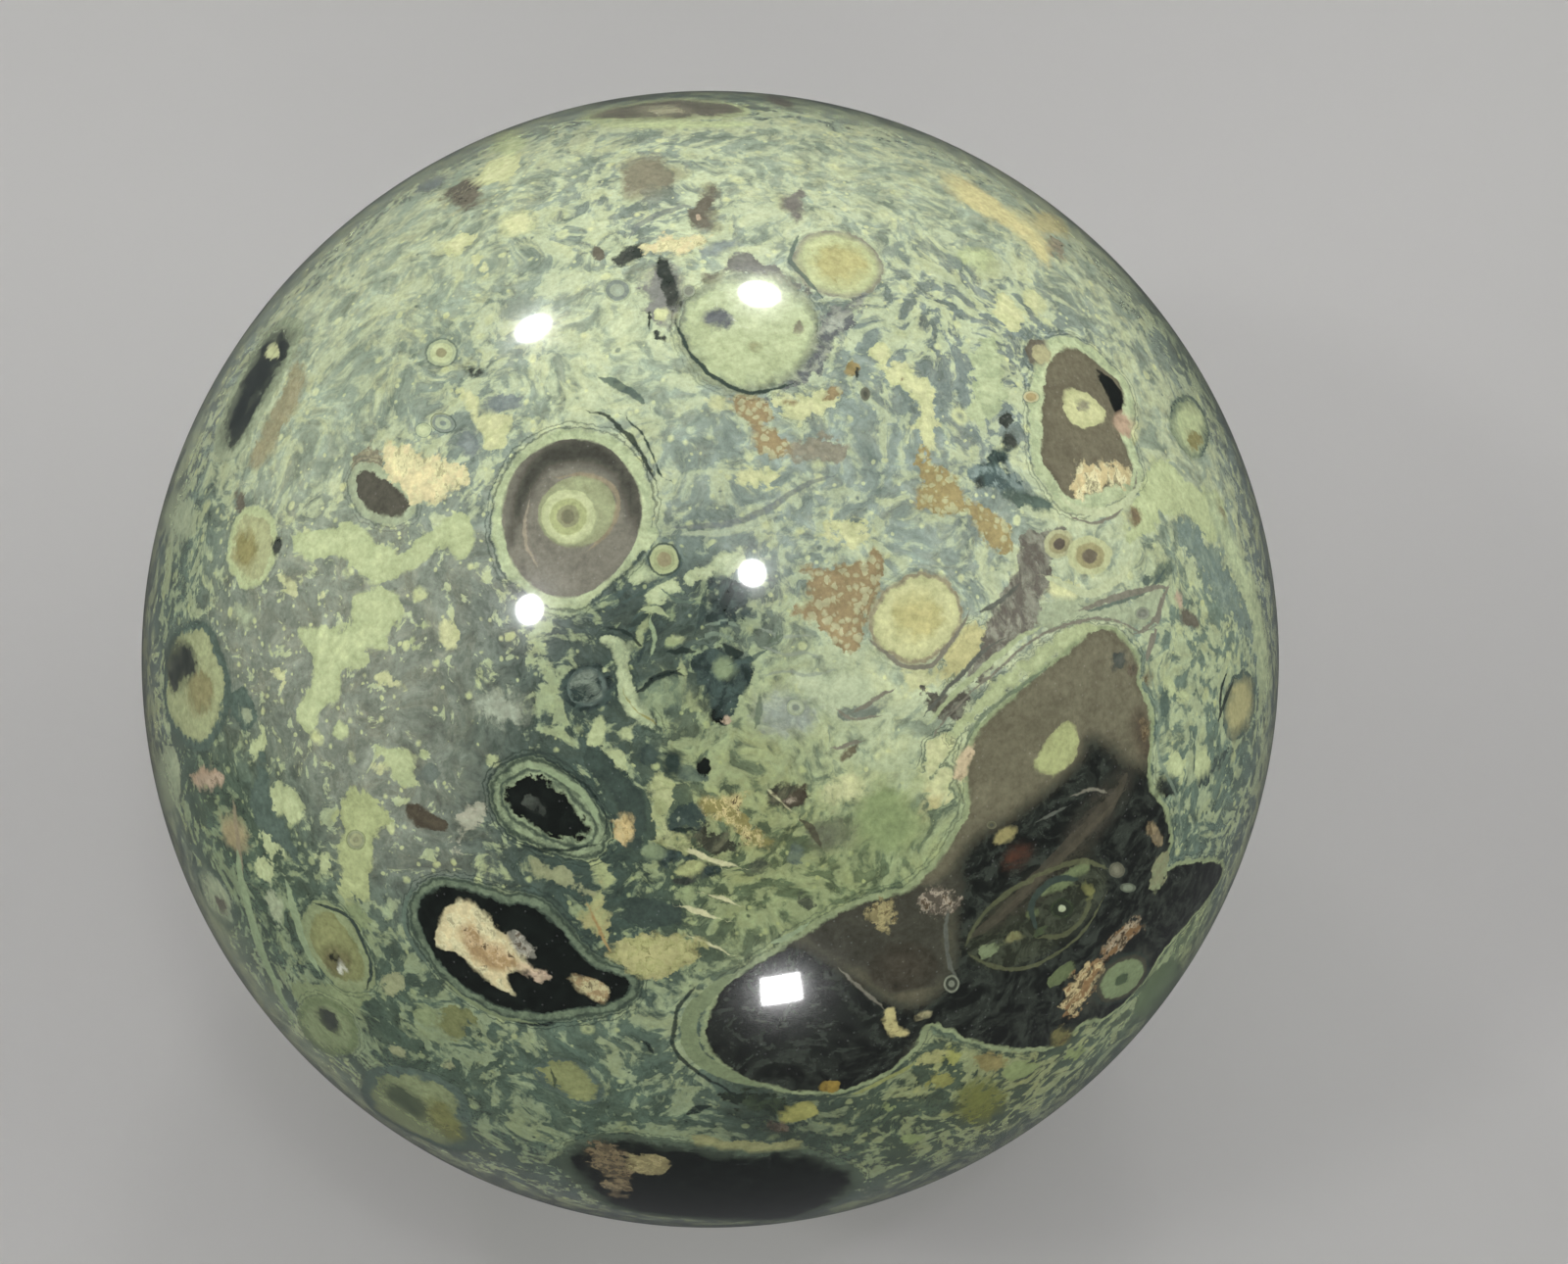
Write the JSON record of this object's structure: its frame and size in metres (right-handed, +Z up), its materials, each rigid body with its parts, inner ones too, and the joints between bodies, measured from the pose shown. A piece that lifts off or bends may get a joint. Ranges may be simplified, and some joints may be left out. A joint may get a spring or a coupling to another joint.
{
  "type": "polished stone sphere",
  "caption": "Polished kambaba jasper sphere, green stone with dark ringed eyes, that rests on a table or shelf as a display piece.",
  "frame": {"origin": "the middle of the small flat that the ball rests on, straight under the ball's centre, on the floor plane", "axes": "+Z up through the ball's centre, -Y towards the side that shows in the picture"},
  "size_m": [0.07, 0.07, 0.0698],
  "materials": {
    "jasper": "polished"
  },
  "bodies": {
    "root": {"jasper_ball": "jasper"}
  },
  "joints": []
}
